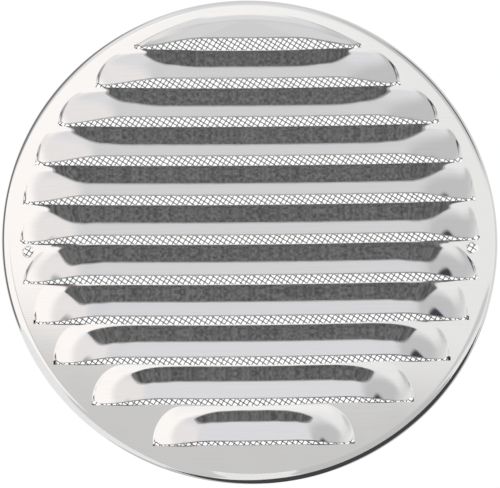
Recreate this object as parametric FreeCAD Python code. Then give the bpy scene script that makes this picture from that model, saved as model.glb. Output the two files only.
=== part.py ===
import FreeCAD, Part
import math
import os

# Round louvred vent cover, pressed from one disc of polished sheet.
# Frame: millimetres, the face is vertical and looks along -Y, +X right, +Z up.
# The origin is on the front plane of the face, midway between the two
# screw holes.

# ---------------------------------------------------------------- dimensions
R_OUT = 105.0          # outer radius of the cover
SHEET = 0.7            # sheet thickness
ROLL_R = 4.2           # outer radius of the rolled edge
DISC_Z = 7.1           # disc centre above the line of the screw holes
PITCH = 17.12          # distance from one louvre slit to the next
SLIT6_Z = -3.7         # middle slit, from the disc centre
SLIT_HALF = [48.8, 65.3, 81.2, 90.7, 95.7, 96.7, 95.2, 90.8, 82.4, 66.5, 41.5]
SLIT_END = 0.5         # height of a slit at its two ends
HOOD_H = [7.6, 7.7, 7.8, 7.8, 7.8, 7.8, 7.8, 7.7, 7.5, 7.2, 6.5]   # how far each lip stands out
HOOD_TOP_Z = 98.2      # top of the uppermost louvre, from the disc centre
HOOD_TOP_R = 98.5      # radius of the uppermost louvre's outline at its top
# half length of each louvre's fold, and how round its end outline is
CORNER = [0.0, 47.8, 64.3, 80.2, 89.7, 90.5, 80.0, 84.0, 70.0, 52.0, 26.5]
ROUND = [0.0, 2.0, 2.0, 2.0, 2.0, 2.0, 1.8, 2.1, 2.3, 2.1, 2.1]
# width of each louvre's end slope along its fold, and along its lip
RAMP_TOP = [30.0, 36.0, 34.0, 33.0, 34.0, 34.0, 34.0, 38.0, 38.0, 36.0, 34.0]
RAMP_LIP = 29.0
STEP = [0.0, 0.0, 0.0, 0.0, 0.1, 0.25, 0.4, 0.5, 0.5, 0.5, 0.5]  # how stepped each end slope is
CREASE = 0.26          # share of the height gained at once inside the outline
CREASE_W = 1.3         # width of that crease
SOFT = 0.12            # share of a slope that is rounded where it leaves the face
BOW = 0.9              # sag of each louvre strip at its middle
# flat land above the fold of each louvre, half the width over which it bends
LAND = [0.0, 1.3, 1.4, 1.5, 1.6, 1.7, 1.7, 1.8, 1.9, 2.1, 2.9]
NOTCH_H = 1.2          # extra height of the slit at its two ends
NOTCH_W = 2.2          # width of that notch
SCREW_X = 93.2         # screw holes, left and right of the middle
SCREW_R = 2.1          # screw hole radius
SCREW_CSK = 2.7        # radius of the screw hole's countersink at the face
BACK_FLAT = 1.8        # width of the flat ring at the back of the rolled edge
CURL_R = 1.6           # outer radius of the roll's inner turn
LEAF_END_Y = 1.52      # where the roll's end presses on the mesh
MESH_Y0 = 0.85         # front of the insect mesh
MESH_Y1 = 1.47         # back of the insect mesh
MESH_R = 100.0         # radius of the insect mesh, its edge inside the roll
MESH_HOLE = 2.6        # radius where the mesh is pierced for each screw

COLS = 29              # surface columns across a louvre
ROWS = 9               # surface rows from fold to lip

V = FreeCAD.Vector
os.makedirs("parts", exist_ok=True)

SLITS = len(SLIT_HALF)


def slit_z(i):
    return SLIT6_Z + (6 - i) * PITCH


# ---------------------------------------------------------------- louvre form
def ease(u):
    u = min(max(u, 0.0), 1.0)
    return u * u * (3.0 - 2.0 * u)


def rise(u):
    """Share of the full height across an end slope, from 0 to 1."""
    u = min(max(u, 0.0), 1.0)
    r = u * u / (2.0 * SOFT) if u < SOFT else u - SOFT / 2.0
    return math.sin(math.pi / 2.0 * r / (1.0 - SOFT / 2.0))


def fold(t, land):
    """Share of the full height from the top of a louvre to its lip."""
    r = t * t / (2.0 * land) if t < land else t - land / 2.0
    return r / (1.0 - land / 2.0)


def basis(n, u):
    """Values at u of the n cubic basis functions with knots at the points."""
    knots = [0.0] * 4 + [float(j) for j in range(2, n - 2)] + [n - 1.0] * 4
    span = 3
    while span < n - 1 and u >= knots[span + 1]:
        span += 1
    w = [1.0]
    for d in range(1, 4):
        nw = [0.0] * (d + 1)
        for r in range(d):
            lo = knots[span + r + 1 - d]
            hi = knots[span + r + 1]
            a = w[r] / (hi - lo)
            nw[r] += (hi - u) * a
            nw[r + 1] += (u - lo) * a
        w = nw
    out = [0.0] * n
    for r in range(4):
        out[span - 3 + r] = w[r]
    return out


def solve(n, rows):
    """Poles of the cubic curves that pass through n evenly numbered points."""
    m = [basis(n, float(j)) + list(rows[j]) for j in range(n)]
    w = len(m[0])
    for j in range(n):
        piv = max(range(j, n), key=lambda r: abs(m[r][j]))
        m[j], m[piv] = m[piv], m[j]
        d = m[j][j]
        m[j] = [v / d for v in m[j]]
        for r in range(n):
            if r != j and m[r][j] != 0.0:
                q = m[r][j]
                m[r] = [m[r][x] - q * m[j][x] for x in range(w)]
    return [row[n:] for row in m]


def through_points(grid):
    """Smooth surface through a grid of points, evenly numbered both ways."""
    nu, nv = len(grid), len(grid[0])
    flat = solve(nu, [[q for p in row for q in (p.x, p.y, p.z)] for row in grid])
    cols = [[flat[j][3 * k + q] for j in range(nu) for q in range(3)] for k in range(nv)]
    cols = solve(nv, cols)
    poles = [[V(*cols[k][3 * j:3 * j + 3]) for k in range(nv)] for j in range(nu)]

    def knots(n):
        inner = [float(j) for j in range(2, n - 2)]
        return [0.0] + inner + [n - 1.0], [4] + [1] * len(inner) + [4]

    uk, um = knots(nu)
    vk, vm = knots(nv)
    s = Part.BSplineSurface()
    s.buildFromPolesMultsKnots(poles, um, vm, uk, vk, False, False, 3, 3)
    return s


class Hood:
    def __init__(self, i):
        self.i = i
        self.half = SLIT_HALF[i - 1]
        self.bottom = slit_z(i) + SLIT_END
        self.h = HOOD_H[i - 1]
        if i == 1:
            self.top = HOOD_TOP_Z
            self.corner = math.sqrt(HOOD_TOP_R ** 2 - HOOD_TOP_Z ** 2)
            self.land = 0.35
            self.bow = 0.0
        else:
            self.top = slit_z(i - 1)
            self.corner = CORNER[i - 1]
            self.land = 2.0 * LAND[i - 1] / PITCH
            self.bow = BOW
        self.length = self.top - self.bottom
        self.full_back = self.length - math.sqrt(self.length ** 2 - self.h ** 2)
        self.lip_ramp = min(RAMP_LIP, 0.6 * self.half)

    def outline(self, t):
        t = min(max(t, 0.0), 1.0)
        if self.i == 1:
            r = HOOD_TOP_R + t * (math.hypot(self.half, self.bottom) - HOOD_TOP_R)
            return math.sqrt(r ** 2 - (self.top - t * self.length) ** 2)
        p = ROUND[self.i - 1]
        k = 1.0 - t
        return self.half - (self.half - self.corner) * (
            1.0 - max(0.0, 1.0 - k ** p) ** (1.0 / p))

    def width(self, t):
        top = RAMP_TOP[self.i - 1]
        return min(top + (self.lip_ramp - top) * t, 0.97 * self.outline(t))

    def point(self, c, t):
        """Front surface, c from -1 to 1 across and t from fold to lip."""
        xo = self.outline(t)
        inset = (1.0 - abs(c)) * xo
        u = inset / self.width(t)
        step = STEP[self.i - 1]
        swell = (1.0 - step) * rise(u) + step * ease((u - 0.18) / 0.55)
        lip = self.h * (CREASE * (1.0 - math.exp(-(inset / CREASE_W) ** 1.5))
                        + (1.0 - CREASE) * swell)
        back = self.full_back * ease((u - 0.2) / 0.8)
        notch = NOTCH_H * (1.0 - ease((inset - 0.5 * NOTCH_W) / NOTCH_W)) * t ** 3
        z = self.top - t * (self.length - back) + notch - self.bow * (1.0 - c * c)
        return V(c * xo, -lip * fold(t, self.land), z)

    def normal(self, c, t):
        if abs(c) >= 1.0 or t <= 0.0:
            return V(0, -1, 0)
        e = 1e-4
        ta, tb = (t, t + e) if t < 0.5 else (t - e, t)
        ca, cb = (c, c + e) if c < 0.0 else (c - e, c)
        n = (self.point(cb, t) - self.point(ca, t)).cross(
            self.point(c, tb) - self.point(c, ta))
        if n.y > 0:
            n = n * -1.0
        n.normalize()
        return n

    def grid(self, back):
        rows = []
        for j in range(COLS):
            s = 2.0 * j / (COLS - 1) - 1.0
            c = -1.0 if j == 0 else 1.0 if j == COLS - 1 else math.sin(math.pi / 2.0 * s)
            row = []
            for k in range(ROWS):
                t = 1.0 - math.cos(math.pi / 2.0 * k / (ROWS - 1))
                p = self.point(c, t)
                if back:
                    # kept relative to the plane of the sheet's back
                    p = p - self.normal(c, t) * SHEET - V(0, SHEET, 0)
                    if abs(c) >= 1.0 or k == 0:
                        p = V(p.x, 0.0, p.z)
                row.append(p)
            rows.append(row)
        return rows

    def patch(self, back):
        s = through_points(self.grid(back))
        if back:
            s.translate(V(0, SHEET, 0))
        u0, u1, v0, v1 = s.bounds()
        edges = {
            "left": s.uIso(u0).toShape(), "right": s.uIso(u1).toShape(),
            "top": s.vIso(v0).toShape(), "lip": s.vIso(v1).toShape()}
        return s.toShape(), edges


hoods = [Hood(i) for i in range(1, SLITS + 1)]
front = [h.patch(False) for h in hoods]
back = [h.patch(True) for h in hoods]

faces = [f for f, e in front] + [f for f, e in back]


# ---------------------------------------------------------------- flat face
def slit_edges(i, y):
    """The straight edges of slit i on the plane y, from left to right:
    left end, left land, (fold of the louvre below), right land, right end."""
    h = hoods[i - 1]
    z = slit_z(i)
    zl = h.bottom + NOTCH_H
    out = {}
    out["left_end"] = Part.makeLine(V(-h.half, y, zl), V(-h.half, y, z))
    out["right_end"] = Part.makeLine(V(h.half, y, z), V(h.half, y, zl))
    if i < SLITS:
        c = hoods[i].outline(0.0)
        out["left_land"] = Part.makeLine(V(-h.half, y, z), V(-c, y, z))
        out["right_land"] = Part.makeLine(V(c, y, z), V(h.half, y, z))
    else:
        out["whole"] = Part.makeLine(V(-h.half, y, z), V(h.half, y, z))
    return out


slit_front = [slit_edges(i, 0.0) for i in range(1, SLITS + 1)]
slit_back = [slit_edges(i, SHEET) for i in range(1, SLITS + 1)]


def inner_wire(patches, slits):
    edges = [patches[0][1]["top"]]
    for k in range(SLITS):
        edges.append(patches[k][1]["left"])
        edges.append(patches[k][1]["right"])
        edges.append(slits[k]["left_end"])
        edges.append(slits[k]["right_end"])
        if k < SLITS - 1:
            edges.append(slits[k]["left_land"])
            edges.append(slits[k]["right_land"])
        else:
            edges.append(slits[k]["whole"])
    groups = Part.sortEdges(edges, 1e-4)
    if len(groups) != 1:
        raise RuntimeError("face outline is open: %d groups" % len(groups))
    return Part.Wire(groups[0])


# ---------------------------------------------------------------- rolled edge
def roll_profile(r_roll, y_face, y_back, r_curl, curl_c, leaf_x):
    """Half section of the rolled edge in the plane Z = 0, radius along X."""
    c = R_OUT - ROLL_R
    e = []
    e.append(Part.Arc(V(c, y_face, 0), V(c + r_roll, ROLL_R, 0), V(c, y_back, 0)).toShape())
    e.append(Part.makeLine(V(c, y_back, 0), V(curl_c, y_back, 0)))
    yc = 2.0 * ROLL_R - CURL_R
    a = math.radians(135)
    e.append(Part.Arc(V(curl_c, y_back, 0),
                      V(curl_c + r_curl * math.cos(a), yc + r_curl * math.sin(a), 0),
                      V(curl_c - r_curl, yc, 0)).toShape())
    e.append(Part.makeLine(V(curl_c - r_curl, yc, 0), V(leaf_x, LEAF_END_Y, 0)))
    return e


curl_c = R_OUT - ROLL_R - BACK_FLAT
outer_profile = roll_profile(ROLL_R, 0.0, 2.0 * ROLL_R, CURL_R, curl_c, curl_c - CURL_R)
inner_profile = roll_profile(ROLL_R - SHEET, SHEET, 2.0 * ROLL_R - SHEET, CURL_R - SHEET,
                             curl_c, curl_c - CURL_R + SHEET)
leaf_tip = Part.makeLine(V(curl_c - CURL_R, LEAF_END_Y, 0),
                         V(curl_c - CURL_R + SHEET, LEAF_END_Y, 0))
axis = (V(0, 0, 0), V(0, 1, 0))
ring_faces = []
for e in outer_profile + inner_profile + [leaf_tip]:
    ring_faces += e.revolve(axis[0], axis[1], 360).Faces
faces += ring_faces


def ring_edge(radius, y):
    for f in ring_faces:
        for e in f.Edges:
            if hasattr(e.Curve, "Radius") and abs(e.Curve.Radius - radius) < 1e-6 \
                    and abs(e.Curve.Center.y - y) < 1e-6 and abs(e.Curve.Center.x) < 1e-6:
                return e
    raise RuntimeError("no ring edge")


# Screw holes: a straight hole opened by a shallow countersink at the face.
csk_y = 0.3 * SHEET
screw_wires = {0.0: [], SHEET: []}
for side in (-1, 1):
    c = V(side * SCREW_X, 0, -DISC_Z)
    cone = Part.makeLine(c + V(SCREW_CSK, 0, 0), c + V(SCREW_R, csk_y, 0))
    bore = Part.makeLine(c + V(SCREW_R, csk_y, 0), c + V(SCREW_R, SHEET, 0))
    walls = cone.revolve(c, V(0, 1, 0), 360).Faces + bore.revolve(c, V(0, 1, 0), 360).Faces
    faces += walls
    for y, radius in ((0.0, SCREW_CSK), (SHEET, SCREW_R)):
        for e in [e for f in walls for e in f.Edges]:
            if hasattr(e.Curve, "Radius") and abs(e.Curve.Center.y - y) < 1e-6:
                screw_wires[y].append(Part.Wire([e]))
                break

for y, patches, slits in ((0.0, front, slit_front), (SHEET, back, slit_back)):
    outer = Part.Wire([ring_edge(R_OUT - ROLL_R, y)])
    inner = inner_wire(patches, slits)
    f = Part.makeFace([outer, inner], "Part::FaceMakerBullseye").Faces[0]
    for side in (-1, 1):
        f = f.cut(Part.makeCylinder(SCREW_CSK if y == 0.0 else SCREW_R, 0.4,
                                    V(side * SCREW_X, y - 0.2, -DISC_Z), V(0, 1, 0))).Faces[0]
    print("flat face", round(f.Area, 2), f.isValid())
    faces.append(f)

# ---------------------------------------------------------------- cut edges
for k in range(SLITS):
    pairs = [(front[k][1]["lip"], back[k][1]["lip"])]
    for name in slit_front[k]:
        pairs.append((slit_front[k][name], slit_back[k][name]))
    if k < SLITS - 1:
        pairs.append((front[k + 1][1]["top"], back[k + 1][1]["top"]))
    for a, b in pairs:
        faces.append(Part.makeRuledSurface(a, b))

shell = Part.makeShell(faces)
shell.sewShape(2e-3)
shells = shell.Shells
print("shells", len(shells), "closed", [s.isClosed() for s in shells])
cover = Part.Solid(shells[0])
if cover.Volume < 0:
    cover = Part.Solid(shells[0].reversed())
print("cover valid", cover.isValid(), "volume", round(cover.Volume, 1))

# ---------------------------------------------------------------- insect mesh
mesh = Part.makeCylinder(MESH_R, MESH_Y1 - MESH_Y0, V(0, MESH_Y0, 0), V(0, 1, 0))
for side in (-1, 1):
    mesh = mesh.cut(Part.makeCylinder(MESH_HOLE, 4.0, V(side * SCREW_X, -1.0, -DISC_Z), V(0, 1, 0)))
print("mesh valid", mesh.isValid(), "volume", round(mesh.Volume, 1))

lift = V(0, 0, DISC_Z)
cover.translate(lift)
mesh.translate(lift)
cover.exportStep("parts/louvred_cover.step")
mesh.exportStep("parts/insect_mesh.step")
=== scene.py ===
import bpy
import math
import numpy as np
from mathutils import Vector, Matrix
from mathutils.geometry import delaunay_2d_cdt


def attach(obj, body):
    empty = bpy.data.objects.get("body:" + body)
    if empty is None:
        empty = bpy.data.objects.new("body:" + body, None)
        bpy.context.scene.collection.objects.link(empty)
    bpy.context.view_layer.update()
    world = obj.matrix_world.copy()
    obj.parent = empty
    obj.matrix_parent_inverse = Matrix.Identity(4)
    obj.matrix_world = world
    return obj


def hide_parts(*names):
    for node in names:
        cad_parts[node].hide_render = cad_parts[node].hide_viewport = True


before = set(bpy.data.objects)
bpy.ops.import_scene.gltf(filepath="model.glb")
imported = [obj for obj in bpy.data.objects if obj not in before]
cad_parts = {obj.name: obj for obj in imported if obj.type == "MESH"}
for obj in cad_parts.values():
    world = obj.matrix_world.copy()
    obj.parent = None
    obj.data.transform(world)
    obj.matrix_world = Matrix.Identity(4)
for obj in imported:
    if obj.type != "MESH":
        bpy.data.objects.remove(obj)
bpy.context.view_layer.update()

MM = 0.001

# ---------------------------------------------------------------- dimensions, mm
R_OUT = 105.0
SHEET = 0.7
ROLL_R = 4.2
DISC_Z = 7.1
PITCH = 17.12
SLIT6_Z = -3.7
SLIT_HALF = [48.8, 65.3, 81.2, 90.7, 95.7, 96.7, 95.2, 90.8, 82.4, 66.5, 41.5]
SLIT_END = 0.5
HOOD_H = [7.6, 7.7, 7.8, 7.8, 7.8, 7.8, 7.8, 7.7, 7.5, 7.2, 6.5]
HOOD_TOP_Z = 98.2
HOOD_TOP_R = 98.5
CORNER = [0.0, 47.8, 64.3, 80.2, 89.7, 90.5, 80.0, 84.0, 70.0, 52.0, 26.5]
ROUND = [0.0, 2.0, 2.0, 2.0, 2.0, 2.0, 1.8, 2.1, 2.3, 2.1, 2.1]
RAMP_TOP = [30.0, 36.0, 34.0, 33.0, 34.0, 34.0, 34.0, 38.0, 38.0, 36.0, 34.0]
RAMP_LIP = 29.0
SOFT = 0.12
BOW = 0.9
LAND = [0.0, 1.3, 1.4, 1.5, 1.6, 1.7, 1.7, 1.8, 1.9, 2.1, 2.9]
STEP = [0.0, 0.0, 0.0, 0.0, 0.1, 0.25, 0.4, 0.5, 0.5, 0.5, 0.5]
CREASE = 0.26
CREASE_W = 1.3
NOTCH_H = 1.2
NOTCH_W = 2.2
SCREW_X = 93.2
SCREW_R = 2.1
SCREW_CSK = 2.7
BACK_FLAT = 1.8
CURL_R = 1.6
LEAF_END_Y = 1.52
MESH_Y0 = 0.85
MESH_Y1 = 1.47
MESH_R = 100.0
MESH_PITCH = 1.84
WIRE_R = 0.153
WIRE_WIDE = 1.2         # the wires are pressed a little wider than they are thick
WEAVE_ANGLE = math.radians(-32.3)
# spots where a wire of the cloth is flattened wide: family, x, z, how wide
FLAT_SPOTS = [(0, 48.4, 69.5, 2.6), (1, 58.4, 53.6, 2.6), (0, 62.6, -50.0, 2.2), (1, 53.5, -68.5, 2.2)]

SLITS = len(SLIT_HALF)


def slit_z(i):
    return SLIT6_Z + (6 - i) * PITCH


# ---------------------------------------------------------------- camera
def look(cam, pos, target, roll):
    d = (Vector(target) - Vector(pos)).normalized()
    right = d.cross(Vector((0, 0, 1))).normalized()
    up = right.cross(d).normalized()
    r2 = right * math.cos(roll) + up * math.sin(roll)
    u2 = up * math.cos(roll) - right * math.sin(roll)
    m = Matrix((r2, u2, -d)).transposed().to_4x4()
    m.translation = Vector(pos)
    cam.matrix_world = m


CAM_D = 850.0
CAM_PITCH = math.radians(13.1)
CAM_YAW = math.radians(-1.63)
CAM_ROLL = math.radians(-0.88)
CAM_F = 2022.0
CAM_TX = -0.32
CAM_TZ = -4.57

cam_data = bpy.data.cameras.new("photo_camera")
cam = bpy.data.objects.new("photo_camera", cam_data)
bpy.context.scene.collection.objects.link(cam)
bpy.context.scene.camera = cam
e = -CAM_PITCH
cam_back = Vector((math.sin(CAM_YAW) * math.cos(e), -math.cos(CAM_YAW) * math.cos(e), math.sin(e)))
cam_target = Vector((CAM_TX, 0, CAM_TZ + DISC_Z)) * MM
cam_pos = cam_target + cam_back * CAM_D * MM
look(cam, cam_pos, cam_target, CAM_ROLL)
cam_data.sensor_fit = "HORIZONTAL"
cam_data.sensor_width = 36.0
cam_data.lens = 36.0 * CAM_F / 500.0
cam_data.clip_start = 0.01
cam_data.clip_end = 100.0


# ---------------------------------------------------------------- louvre form
def ease(u):
    u = np.clip(u, 0.0, 1.0)
    return u * u * (3.0 - 2.0 * u)


def rise(u):
    u = np.clip(u, 0.0, 1.0)
    r = np.where(u < SOFT, u * u / (2 * SOFT), u - SOFT / 2) / (1 - SOFT / 2)
    return np.sin(math.pi / 2 * r)


def fold(t, land):
    r = np.where(t < land, t * t / (2 * land), t - land / 2)
    return r / (1 - land / 2)


class Hood:
    def __init__(self, i):
        self.i = i
        self.half = SLIT_HALF[i - 1]
        self.bottom = slit_z(i) + SLIT_END
        if i == 1:
            self.top = HOOD_TOP_Z
            self.corner = math.sqrt(HOOD_TOP_R ** 2 - HOOD_TOP_Z ** 2)
            self.land = 0.35
            self.bow = 0.0
        else:
            self.top = slit_z(i - 1)
            self.corner = CORNER[i - 1]
            self.land = 2 * LAND[i - 1] / PITCH
            self.bow = BOW
        self.length = self.top - self.bottom
        self.p = ROUND[i - 1]
        self.step = STEP[i - 1]
        self.h = HOOD_H[i - 1]
        self.full_back = self.length - math.sqrt(self.length ** 2 - self.h ** 2)
        self.ramp_top = RAMP_TOP[i - 1]
        self.ramp_lip = min(RAMP_LIP, 0.6 * self.half)

    def outline(self, t):
        t = np.clip(t, 0.0, 1.0)
        if self.i == 1:
            r = HOOD_TOP_R + t * (math.hypot(self.half, self.bottom) - HOOD_TOP_R)
            return np.sqrt(r ** 2 - (self.top - t * self.length) ** 2)
        k = 1.0 - t
        return self.half - (self.half - self.corner) * (
            1.0 - np.maximum(0.0, 1.0 - k ** self.p) ** (1.0 / self.p))

    def width(self, t):
        w = self.ramp_top + (self.ramp_lip - self.ramp_top) * t
        return np.minimum(w, 0.97 * self.outline(t))

    def point(self, c, t):
        xo = self.outline(t)
        inset = (1.0 - np.abs(c)) * xo
        u = inset / self.width(t)
        swell = (1.0 - self.step) * rise(u) + self.step * ease((u - 0.18) / 0.55)
        lip = self.h * (CREASE * (1.0 - np.exp(-(inset / CREASE_W) ** 1.5)) + (1.0 - CREASE) * swell)
        back = self.full_back * ease((u - 0.2) / 0.8)
        notch = NOTCH_H * (1.0 - ease((inset - 0.5 * NOTCH_W) / NOTCH_W)) * t ** 3
        z = self.top - t * (self.length - back) + notch - self.bow * (1.0 - c * c)
        return np.stack([c * xo, -lip * fold(t, self.land), z], -1)

    def normal(self, c, t):
        e = 1e-4
        ta, tb = np.where(t < 0.5, t, t - e), np.where(t < 0.5, t + e, t)
        ca, cb = np.where(c < 0, c, c - e), np.where(c < 0, c + e, c)
        n = np.cross(self.point(cb, t) - self.point(ca, t),
                     self.point(c, tb) - self.point(c, ta))
        n = np.where(n[..., 1:2] > 0, -n, n)
        n /= np.maximum(1e-12, np.linalg.norm(n, axis=-1, keepdims=True))
        flat = (np.abs(c) >= 1.0) | (t <= 0)
        n[flat] = (0, -1, 0)
        return n


# ---------------------------------------------------------------- mesh builder
class Builder:
    def __init__(self):
        self.v = []
        self.f = []
        self.fn = []      # per corner normals, or None for a flat face
        self.mat = []

    def vert(self, p):
        self.v.append((float(p[0]), float(p[1]), float(p[2])))
        return len(self.v) - 1

    def verts(self, arr):
        k = len(self.v)
        self.v.extend(map(tuple, np.asarray(arr, float).reshape(-1, 3)))
        return np.arange(k, len(self.v)).reshape(np.asarray(arr).shape[:-1])

    def face(self, idx, normals=None, mat=0):
        idx = [int(i) for i in idx]
        if len(set(idx)) < 3:
            return
        self.f.append(idx)
        self.fn.append(normals)
        self.mat.append(mat)

    def orient(self):
        """Turns each face to its normals, and each flat face to its neighbours."""
        v = np.array(self.v)
        first = np.array([f[:3] for f in self.f])
        last = np.array([[f[0], f[2], f[3] if len(f) > 3 else f[2]] for f in self.f])
        g = np.zeros((len(first), 3))
        for q in (first, last):
            g += np.cross(v[q[:, 1]] - v[q[:, 0]], v[q[:, 2]] - v[q[:, 0]])
        mean = np.array([(0, 0, 0) if fn is None else np.sum(fn, axis=0) for fn in self.fn])
        for k in np.nonzero(np.einsum("ij,ij->i", g, mean) < 0)[0]:
            self.f[k] = self.f[k][::-1]
            self.fn[k] = list(self.fn[k])[::-1]
        edges = {}
        flat = {k for k, fn in enumerate(self.fn) if fn is None}
        for k, f in enumerate(self.f):
            for a, c in zip(f, f[1:] + f[:1]):
                edges.setdefault((min(a, c), max(a, c)), []).append(k)
        todo = set(flat)
        while todo:
            left = set()
            for k in sorted(todo):
                f = self.f[k]
                vote = 0
                for a, c in zip(f, f[1:] + f[:1]):
                    for o in edges[(min(a, c), max(a, c))]:
                        if o == k or o in todo:
                            continue
                        g = self.f[o]
                        vote += -1 if (a, c) in zip(g, g[1:] + g[:1]) else 1
                if vote == 0:
                    left.add(k)
                elif vote < 0:
                    self.f[k] = f[::-1]
                if vote != 0:
                    left.discard(k)
            if len(left) == len(todo):
                break
            todo = left

    def make(self, name, mats, lift=DISC_Z):
        self.orient()
        me = bpy.data.meshes.new(name)
        v = np.array(self.v) * MM
        v[:, 2] += lift * MM
        me.from_pydata([tuple(p) for p in v], [], self.f)
        me.polygons.foreach_set("material_index", self.mat)
        me.polygons.foreach_set("use_smooth", [True] * len(self.f))
        me.update()
        for m in mats:
            me.materials.append(m)
        loops = []
        for poly, fn in zip(me.polygons, self.fn):
            if fn is None:
                n = tuple(poly.normal)
                loops.extend([n] * len(poly.vertices))
            else:
                loops.extend(tuple(n) for n in fn)
        me.normals_split_custom_set(loops)
        ob = bpy.data.objects.new(name, me)
        bpy.context.scene.collection.objects.link(ob)
        return ob


def grid_faces(b, idx, nrm, flip, mat=0):
    """Quads over a grid of vertex indices, with normals per vertex."""
    a, c = idx.shape
    for i in range(a - 1):
        for j in range(c - 1):
            q = [(i, j), (i + 1, j), (i + 1, j + 1), (i, j + 1)]
            if flip:
                q = q[::-1]
            b.face([idx[p] for p in q], [nrm[p] for p in q], mat)


def strip_faces(b, a, c, mat=0, flip=False):
    """Flat quads between two rows of vertices."""
    for k in range(len(a) - 1):
        q = [a[k], a[k + 1], c[k + 1], c[k]]
        if flip:
            q = q[::-1]
        b.face(q, None, mat)


# ---------------------------------------------------------------- the cover
def build_cover(mats):
    b = Builder()
    nc, nr = ((97, 25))
    s = np.linspace(-1, 1, nc)
    c = np.sin(math.pi / 2 * s)
    c[0], c[-1] = -1.0, 1.0
    t = np.linspace(0, 1, nr) ** 1.5
    C, T = np.meshgrid(c, t, indexing="ij")
    front, back, hoods = [], [], []
    for i in range(1, SLITS + 1):
        h = Hood(i)
        P = h.point(C, T)
        N = h.normal(C, T)
        Q = P - N * SHEET
        Q[0, :, 1] = SHEET
        Q[-1, :, 1] = SHEET
        fi = b.verts(P)
        bi = b.verts(Q)
        grid_faces(b, fi, N, False, 0)
        grid_faces(b, bi, -N, True, 1)
        front.append(fi)
        back.append(bi)
        hoods.append(h)
        # the cut edge along the lip
        strip_faces(b, fi[:, -1], bi[:, -1], 2, True)
        if i > 1:
            strip_faces(b, fi[:, 0], bi[:, 0], 2, False)

    # slit ends and lands
    n_seg = 400
    ring_a = np.arange(n_seg) * 2 * math.pi / n_seg
    r_flat = R_OUT - ROLL_R
    circ = np.stack([r_flat * np.cos(ring_a), 0 * ring_a, r_flat * np.sin(ring_a)], -1)
    fc = b.verts(circ)
    bc = b.verts(circ + [0, SHEET, 0])

    loop_f, loop_b = [], []   # the inner outline, from the top left round to the top right
    for side in (0, -1):
        part_f, part_b = [], []
        for i in range(SLITS):
            part_f += list(front[i][side, :])
            part_b += list(back[i][side, :])
            z = slit_z(i + 1)
            h = hoods[i]
            x = -h.half if side == 0 else h.half
            p = b.vert((x, 0, z))
            q = b.vert((x, SHEET, z))
            part_f.append(p)
            part_b.append(q)
            e_f, e_b = front[i][side, -1], back[i][side, -1]
            b.face([e_f, p, q, e_b] if side == 0 else [e_b, q, p, e_f], None, 2)
            if i < SLITS - 1:
                n_f, n_b = front[i + 1][side, 0], back[i + 1][side, 0]
                b.face([p, n_f, n_b, q] if side == 0 else [q, n_b, n_f, p], None, 2)
        loop_f.append(part_f)
        loop_b.append(part_b)
    # lower edge of the lowest slit
    p0, p1 = loop_f[0][-1], loop_f[1][-1]
    q0, q1 = loop_b[0][-1], loop_b[1][-1]
    b.face([p0, p1, q1, q0], None, 2)
    top_f = list(front[0][1:-1, 0])
    top_b = list(back[0][1:-1, 0])
    inner_f = loop_f[0] + loop_f[1][::-1] + top_f[::-1]
    inner_b = loop_b[0] + loop_b[1][::-1] + top_b[::-1]

    # screw holes
    n_h = 32
    ha = np.arange(n_h) * 2 * math.pi / n_h
    holes = []
    csk_y = 0.3 * SHEET
    for side in (-1, 1):
        def ring(r, y):
            return np.stack([side * SCREW_X + r * np.cos(ha), 0 * ha + y,
                             -DISC_Z + r * np.sin(ha)], -1)
        r0 = b.verts(ring(SCREW_CSK, 0.0))
        r1 = b.verts(ring(SCREW_R, csk_y))
        r2 = b.verts(ring(SCREW_R, SHEET))
        for k in range(n_h):
            m = (k + 1) % n_h
            b.face([r0[k], r0[m], r1[m], r1[k]], None, 0)
            b.face([r1[k], r1[m], r2[m], r2[k]], None, 2)
        holes.append((r0, r2))

    # the flat of the face, by constrained triangulation
    allf = inner_f + list(fc) + [k for h in holes for k in h[0]]
    allb = inner_b + list(bc) + [k for h in holes for k in h[1]]
    pts = [(b.v[k][0], b.v[k][2]) for k in allf]
    edges = []
    start = 0
    loops = [len(inner_f), n_seg, n_h, n_h]
    polys = []
    for n in loops:
        edges += [(start + k, start + (k + 1) % n) for k in range(n)]
        polys.append(np.array(pts[start:start + n]))
        start += n
    vo, eo, fo, vmap, emap, fmap = delaunay_2d_cdt([Vector(p) for p in pts], edges, [], 1, 1e-7, True)

    def inside(poly, x, y):
        xa, ya = poly[:, 0], poly[:, 1]
        xb, yb = np.roll(xa, -1), np.roll(ya, -1)
        hit = ((ya > y) != (yb > y))
        with np.errstate(divide="ignore", invalid="ignore"):
            xx = xa + (y - ya) * (xb - xa) / (yb - ya)
        return bool(np.count_nonzero(hit & (xx > x)) % 2)

    up, dn = (0.0, -1.0, 0.0), (0.0, 1.0, 0.0)
    for tri in fo:
        src = [vmap[k][0] for k in tri]
        p = np.array([pts[k] for k in src])
        g = p.mean(0)
        if math.hypot(*g) > r_flat or inside(polys[0], *g) or inside(polys[2], *g) or inside(polys[3], *g):
            continue
        area = (p[1, 0] - p[0, 0]) * (p[2, 1] - p[0, 1]) - (p[2, 0] - p[0, 0]) * (p[1, 1] - p[0, 1])
        if abs(area) < 1e-9:
            continue
        if area < 0:
            src = src[::-1]
        # seen from -Y with X right and Z up, an anticlockwise face looks along -Y
        b.face([allf[k] for k in src], [up] * 3, 0)
        b.face([allb[k] for k in src[::-1]], [dn] * 3, 1)

    # the rolled edge: outer profile out and round, inner profile back
    cr = R_OUT - ROLL_R
    cc = cr - BACK_FLAT
    yc = 2 * ROLL_R - CURL_R

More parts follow.
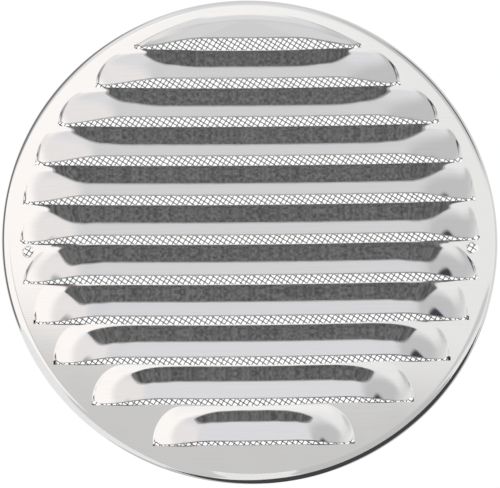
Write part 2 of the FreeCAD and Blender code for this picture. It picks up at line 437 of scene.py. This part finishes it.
    def profile(r_roll, r_curl, n1, n2):
        pr = []
        for k in range(n1 + 1):
            a = -math.pi / 2 + math.pi * k / n1
            pr.append((cr + r_roll * math.cos(a), ROLL_R + r_roll * math.sin(a),
                       math.cos(a), math.sin(a)))
        for k in range(0, n2 + 1):
            a = math.pi / 2 + math.pi / 2 * k / n2
            pr.append((cc + r_curl * math.cos(a), yc + r_curl * math.sin(a),
                       math.cos(a), math.sin(a)))
        return pr
    n1, n2 = ((24, 6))
    outer = profile(ROLL_R, CURL_R, n1, n2)
    outer.append((cc - CURL_R, LEAF_END_Y, -1.0, 0.0))
    inner = profile(ROLL_R - SHEET, CURL_R - SHEET, n1, n2)
    inner.append((cc - CURL_R + SHEET, LEAF_END_Y, -1.0, 0.0))

    def sweep(pr, first, flip, mat):
        rows = [first]
        norm = [np.array([[0, pr[0][3], 0]] * n_seg)]
        for r, y, nr_, ny in pr[1:]:
            rows.append(b.verts(np.stack([r * np.cos(ring_a), 0 * ring_a + y, r * np.sin(ring_a)], -1)))
            norm.append(np.stack([nr_ * np.cos(ring_a), 0 * ring_a + ny, nr_ * np.sin(ring_a)], -1))
        for k in range(len(rows) - 1):
            for j in range(n_seg):
                m = (j + 1) % n_seg
                q = [rows[k][j], rows[k][m], rows[k + 1][m], rows[k + 1][j]]
                nn = [norm[k][j], norm[k][m], norm[k + 1][m], norm[k + 1][j]]
                if flip:
                    q, nn = q[::-1], [-x for x in nn[::-1]]
                b.face(q, nn, mat)
        return rows[-1]
    last_o = sweep(outer, fc, False, 0)
    last_i = sweep(inner, bc, True, 1)
    for j in range(n_seg):
        m = (j + 1) % n_seg
        b.face([last_o[j], last_o[m], last_i[m], last_i[j]], None, 2)
    return b.make("cover_sheet", mats)


# ---------------------------------------------------------------- the mesh
def build_weave(name, mats, family, seed):
    """One family of the cloth's wires, each wire a closed tube that passes
    over and under the other family."""
    rng = np.random.default_rng(seed)
    b = Builder()
    p = MESH_PITCH
    n = int(MESH_R / p) + 1
    ang = WEAVE_ANGLE + (math.pi / 2 if family else 0.0)
    d = np.array([math.cos(ang), math.sin(ang)])       # along the wire
    w = np.array([-math.sin(ang), math.cos(ang)])      # from wire to wire
    y0 = (MESH_Y0 + MESH_Y1) / 2
    sides = 5
    sa = np.arange(sides) * 2 * math.pi / sides + math.pi / 10
    r = WIRE_R
    for k in range(-n, n + 1):
        off = k * p
        if abs(off) >= MESH_R - 0.6:
            continue
        half = math.sqrt((MESH_R - 0.3) ** 2 - off ** 2)
        m = int(half / p)
        if m < 1:
            continue
        wave = rng.normal(0, 0.035, 4)
        cs, ys = [], []
        for q in range(-m, m + 1):
            sgn = 1.0 if (q + k + family) % 2 == 0 else -1.0
            for f in (-0.2, 0.2):
                cs.append((q + f) * p)
                ys.append(sgn * r)
        cs = np.array(cs)
        ys = np.array(ys)
        lat = off + p * (wave[0] + wave[1] * np.sin(cs / 23.0 + wave[2] * 60))
        lat = lat + 0.04 * p * np.sin(cs / 7.3 + k * 1.7)
        cx = cs[:, None] * d[0] + lat[:, None] * w[0]
        cz = cs[:, None] * d[1] + lat[:, None] * w[1]
        keep = np.hypot(cx[:, 0], cz[:, 0]) < MESH_R - 0.25
        cx, cz, ys = cx[keep], cz[keep], ys[keep]
        if len(ys) < 3:
            continue
        wide = np.full(cx.shape, WIRE_WIDE)
        for fam, fx, fz, by in FLAT_SPOTS:
            if fam == family:
                wide += (by - 1.0) * np.exp(-((cx - fx) ** 2 + (cz - fz) ** 2) / 1.3 ** 2)
        ring = np.stack([cx + r * wide * np.cos(sa)[None] * w[0],
                         (y0 + ys)[:, None] + r * np.sin(sa)[None],
                         cz + r * wide * np.cos(sa)[None] * w[1]], -1)
        nrm = np.stack([np.cos(sa) * w[0], np.sin(sa), np.cos(sa) * w[1]], -1)
        idx = b.verts(ring)
        for a in range(len(ys) - 1):
            for s in range(sides):
                t = (s + 1) % sides
                b.face([idx[a, s], idx[a + 1, s], idx[a + 1, t], idx[a, t]],
                       [nrm[s], nrm[s], nrm[t], nrm[t]], 0)
        b.face(list(idx[0, :]), None, 0)
        b.face(list(idx[-1, ::-1]), None, 0)
    return b.make(name, mats)


# ---------------------------------------------------------------- materials
def new_mat(name):
    m = bpy.data.materials.new(name)
    m.use_nodes = True
    nt = m.node_tree
    bsdf = nt.nodes.get("Principled BSDF")
    return m, nt, bsdf


def polished(name):
    m, nt, bs = new_mat(name)
    bs.inputs["Metallic"].default_value = 1.0
    N, L = nt.nodes, nt.links
    tc = N.new("ShaderNodeTexCoord")
    # rolling grain, fine lines along X
    mp = N.new("ShaderNodeMapping")
    mp.inputs["Scale"].default_value = (30.0, 600.0, 2600.0)
    L.new(tc.outputs["Object"], mp.inputs["Vector"])
    grain = N.new("ShaderNodeTexNoise")
    grain.inputs["Scale"].default_value = 1.0
    grain.inputs["Detail"].default_value = 3.0
    L.new(mp.outputs["Vector"], grain.inputs["Vector"])
    # broad unevenness of the polish
    broad = N.new("ShaderNodeTexNoise")
    broad.inputs["Scale"].default_value = 45.0
    broad.inputs["Detail"].default_value = 2.0
    L.new(tc.outputs["Object"], broad.inputs["Vector"])
    rr = N.new("ShaderNodeMapRange")
    rr.inputs["From Min"].default_value = 0.3
    rr.inputs["From Max"].default_value = 0.7
    rr.inputs["To Min"].default_value = 0.05
    rr.inputs["To Max"].default_value = 0.09
    L.new(broad.outputs["Fac"], rr.inputs["Value"])
    L.new(rr.outputs["Result"], bs.inputs["Roughness"])
    cr = N.new("ShaderNodeMapRange")
    cr.inputs["From Min"].default_value = 0.3
    cr.inputs["From Max"].default_value = 0.7
    cr.inputs["To Min"].default_value = 0.875
    cr.inputs["To Max"].default_value = 0.905
    L.new(grain.outputs["Fac"], cr.inputs["Value"])
    cc = N.new("ShaderNodeCombineColor")
    for k in ("Red", "Green", "Blue"):
        L.new(cr.outputs["Result"], cc.inputs[k])
    L.new(cc.outputs["Color"], bs.inputs["Base Color"])
    bump = N.new("ShaderNodeBump")
    bump.inputs["Strength"].default_value = 0.012
    bump.inputs["Distance"].default_value = 0.0002
    L.new(grain.outputs["Fac"], bump.inputs["Height"])
    L.new(bump.outputs["Normal"], bs.inputs["Normal"])
    return m


def dull(name, lo, hi, rough, streak=None):
    m, nt, bs = new_mat(name)
    bs.inputs["Metallic"].default_value = 1.0
    N, L = nt.nodes, nt.links
    tc = N.new("ShaderNodeTexCoord")
    n1 = N.new("ShaderNodeTexNoise")
    n1.inputs["Scale"].default_value = 220.0
    n1.inputs["Detail"].default_value = 5.0
    L.new(tc.outputs["Object"], n1.inputs["Vector"])
    if streak:
        mp = N.new("ShaderNodeMapping")
        mp.inputs["Scale"].default_value = streak
        L.new(tc.outputs["Object"], mp.inputs["Vector"])
        n1.inputs["Scale"].default_value = 1.0
        n1.inputs["Detail"].default_value = 2.0
        L.new(mp.outputs["Vector"], n1.inputs["Vector"])
    cr = N.new("ShaderNodeMapRange")
    cr.inputs["From Min"].default_value = 0.3
    cr.inputs["From Max"].default_value = 0.7
    cr.inputs["To Min"].default_value = lo
    cr.inputs["To Max"].default_value = hi
    L.new(n1.outputs["Fac"], cr.inputs["Value"])
    cc = N.new("ShaderNodeCombineColor")
    for k in ("Red", "Green", "Blue"):
        L.new(cr.outputs["Result"], cc.inputs[k])
    L.new(cc.outputs["Color"], bs.inputs["Base Color"])
    bs.inputs["Roughness"].default_value = rough
    bump = N.new("ShaderNodeBump")
    bump.inputs["Strength"].default_value = 0.15
    bump.inputs["Distance"].default_value = 0.0003
    L.new(n1.outputs["Fac"], bump.inputs["Height"])
    L.new(bump.outputs["Normal"], bs.inputs["Normal"])
    return m


mat_face = polished("polished_sheet")
# back of the sheet: a dull mill finish with streaks, its metal colour kept very dark as painted shade for
# the shaded undersides of the louvres, which the polished face mirrors as dark bands
mat_back_painted_shade = dull("mill_finish_and_painted_shade", 0.125, 0.33, 0.42, (760.0, 300.0, 640.0))
mat_cut = dull("cut_edge", 0.45, 0.6, 0.3)
mat_wire = dull("wire_cloth", 0.05, 0.08, 0.5)

cover = build_cover([mat_face, mat_back_painted_shade, mat_cut])
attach(cover, "root")
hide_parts("louvred_cover")

for k, nm in enumerate(("mesh_warp_wires", "mesh_weft_wires")):
    wv = build_weave(nm, [mat_wire], k, 11 + k)
    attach(wv, "root")
    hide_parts("insect_mesh")

# ---------------------------------------------------------------- stage and light
sc = bpy.context.scene
sc.view_settings.view_transform = "Standard"
sc.view_settings.look = "None"

world = bpy.data.worlds.new("studio")
sc.world = world
world.use_nodes = True


class Env:
    """Radiance of the studio as a function of direction, built of nodes."""

    def __init__(self, nt):
        self.nt = nt
        tc = nt.nodes.new("ShaderNodeTexCoord")
        sp = nt.nodes.new("ShaderNodeSeparateXYZ")
        nt.links.new(tc.outputs["Generated"], sp.inputs["Vector"])
        self.x, self.y, self.z = sp.outputs["X"], sp.outputs["Y"], sp.outputs["Z"]
        self.color = None

    def _in(self, sock, v):
        if isinstance(v, (int, float)):
            sock.default_value = v
        else:
            self.nt.links.new(v, sock)

    def math(self, op, a, b=0.0):
        n = self.nt.nodes.new("ShaderNodeMath")
        n.operation = op
        self._in(n.inputs[0], a)
        self._in(n.inputs[1], b)
        return n.outputs[0]

    def step(self, v, lo, hi):
        """0 below lo, 1 above hi, smooth between; lo above hi turns it round."""
        n = self.nt.nodes.new("ShaderNodeMapRange")
        n.interpolation_type = "SMOOTHSTEP"
        self._in(n.inputs["Value"], v)
        a, b, c, d = (lo, hi, 0.0, 1.0) if lo < hi else (hi, lo, 1.0, 0.0)
        n.inputs["From Min"].default_value = a
        n.inputs["From Max"].default_value = b
        n.inputs["To Min"].default_value = c
        n.inputs["To Max"].default_value = d
        return n.outputs["Result"]

    def lin(self, kx, ky, kz, k0=0.0):
        s = self.math("MULTIPLY", self.x, kx)
        s = self.math("ADD", s, self.math("MULTIPLY", self.y, ky))
        s = self.math("ADD", s, self.math("MULTIPLY", self.z, kz))
        return self.math("ADD", s, k0)

    def both(self, *ms):
        r = ms[0]
        for m in ms[1:]:
            r = self.math("MULTIPLY", r, m)
        return r

    def put(self, mask, color):
        """Lays a colour over what is there, where the mask is 1."""
        n = self.nt.nodes.new("ShaderNodeMix")
        n.data_type = "RGBA"
        if self.color is None:
            n.inputs[6].default_value = (0, 0, 0, 1)
        else:
            self.nt.links.new(self.color, n.inputs[6])
        self._in(n.inputs[0], mask)
        if isinstance(color, (int, float)):
            color = (color,) * 3
        n.inputs[7].default_value = (*color, 1)
        self.color = n.outputs[2]


def sind(a):
    return math.sin(math.radians(a))


env = Env(world.node_tree)
# pale room all round, a little brighter and warmer on the left
env.put(1.0, (1.0, 0.99, 0.97))
env.put(env.step(env.x, 0.03, 0.12), (0.89, 0.885, 0.875))
env.put(env.step(env.x, 0.02, -0.07), (1.09, 1.045, 1.015))
# grey ceiling, dimmer overhead and on the right, brighter on the left
up = env.step(env.z, sind(32), sind(47))
env.put(up, (0.785, 0.775, 0.795))
env.put(env.step(env.z, 0.915, 1.0), (0.67, 0.665, 0.675))
env.put(env.both(up, env.step(env.x, -0.12, -0.26)), (0.88, 0.85, 0.84))
env.put(env.both(env.step(env.z, 0.34, 0.6), env.step(env.x, 0.16, 0.36)), (0.58, 0.575, 0.58))
# something dark high on the right, and its fainter match on the left
env.put(env.both(env.step(env.x, 0.46, 0.54), env.step(env.y, -0.37, -0.29), env.step(env.z, 0.4, 0.6)),
        (0.05, 0.055, 0.065))
env.put(env.both(env.step(env.x, -0.46, -0.58), env.step(env.y, -0.4, -0.28), env.step(env.z, 0.4, 0.6)),
        (0.43, 0.43, 0.44))
# in front: the lower edge of the big white card, with a greyer room below it
low = env.step(env.lin(0.16, 0, 1), sind(11.0), sind(8.9))
env.put(env.both(low, env.step(env.z, sind(-9), sind(-4)), env.step(env.y, -0.2, -0.6),
                 env.step(env.x, -0.34, -0.2)), (0.635, 0.63, 0.625))
# and greyer again below that, to the right and to the left of the middle
env.put(env.both(env.step(env.lin(0.577, 0, 1, 0.22), 0.03, -0.05), env.step(env.x, 0.09, 0.14),
                 env.step(env.y, -0.2, -0.42)), (0.59, 0.585, 0.58))
env.put(env.both(env.step(env.lin(-0.35, 0, 1, 0.22), 0.05, -0.08), env.step(env.x, -0.10, -0.16),
                 env.step(env.y, -0.34, -0.5)), (0.655, 0.65, 0.645))
# beside the object, darker on its left and above
side = env.both(env.step(env.y, -0.12, 0.02), env.step(env.y, 0.6, 0.4))
env.put(env.both(side, env.step(env.z, -0.4, 0.0)), (0.72, 0.72, 0.72))
env.put(env.both(side, env.step(env.x, -0.2, -0.5), env.step(env.z, -0.35, -0.1)), (0.18, 0.18, 0.18))
# plain white behind
env.put(env.step(env.y, 0.52, 0.6), (1.02, 1.02, 1.02))
bg = world.node_tree.nodes["Background"]
world.node_tree.links.new(env.color, bg.inputs["Color"])
bg.inputs["Strength"].default_value = 1.0


def emit_mat(name, color, strength, base=(0.8, 0.8, 0.8)):
    m, nt, bs = new_mat(name)
    bs.inputs["Base Color"].default_value = (*base, 1)
    bs.inputs["Roughness"].default_value = 0.9
    bs.inputs["Specular IOR Level"].default_value = 0.0
    bs.inputs["Emission Color"].default_value = (*color, 1)
    bs.inputs["Emission Strength"].default_value = strength
    return m


def floor_stage():
    """Plain pale floor; the room behind the cover is plain white."""
    half = 3.0
    v = [(-half, -half, -0.55), (half, -half, -0.55), (half, half, -0.55), (-half, half, -0.55)]
    me = bpy.data.meshes.new("pale_floor")
    me.from_pydata(v, [], [(0, 1, 2, 3)])
    me.materials.append(emit_mat("pale_floor", (1, 1, 1), 0.30))
    ob = bpy.data.objects.new("pale_floor", me)
    sc.collection.objects.link(ob)
    return ob


floor_stage()


def card(name, first, last, low, high, color):
    """A strip curved round below the cover, which only the rolled edge mirrors.
    low and high give its two edges, as forward lean, at an angle round it."""
    v, f = [], []
    n = 28
    for k in range(n + 1):
        deg = first + (last - first) * k / n
        a = math.radians(deg)
        taper = min(1.0, 10.0 * k / n, 10.0 * (n - k) / n)
        y0, y1 = low(deg), high(deg)
        m = (y0 + y1) / 2
        for y in (m + (y0 - m) * taper - 0.01, m + (y1 - m) * taper + 0.01):
            y = max(-0.995, min(0.97, y))
            s = math.sqrt(1 - y * y)
            v.append((math.cos(a) * (0.105 + 0.25 * s), 0.004 + 0.25 * y,
                      math.sin(a) * (0.105 + 0.25 * s) + DISC_Z * MM))
    for k in range(n):
        f.append((2 * k, 2 * k + 1, 2 * k + 3, 2 * k + 2))
    me = bpy.data.meshes.new(name)
    me.from_pydata(v, [], f)
    me.materials.append(emit_mat(name, color, 1.0, (0, 0, 0)))
    ob = bpy.data.objects.new(name, me)
    sc.collection.objects.link(ob)
    ob.visible_camera = False
    ob.visible_diffuse = False
    ob.visible_shadow = False


def card_low(deg):
    return float(np.interp(deg, [252, 264, 276, 300, 320, 344], [0.02, -0.10, -0.27, -0.41, -0.44, -0.2]))


def card_high(deg):
    return float(np.interp(deg, [252, 264, 276, 288, 300, 312, 324, 344],
                           [0.46, 0.74, 0.88, 0.90, 0.68, 0.60, 0.64, 0.40]))


card("dark_card", 247, 347, card_low, card_high, (0.055, 0.057, 0.062))
card("grey_card", 228, 354, lambda g: card_high(g) - 0.03, lambda g: 0.96, (0.56, 0.56, 0.565))
card("grey_card_right", 281, 334, lambda g: -0.995, lambda g: card_low(g) + 0.02, (0.575, 0.57, 0.565))
card("grey_card_left", 212, 264, lambda g: -0.995,
     lambda g: float(np.interp(g, [212, 230, 240, 252], [-0.58, -0.58, -0.45, -0.02])), (0.64, 0.635, 0.63))
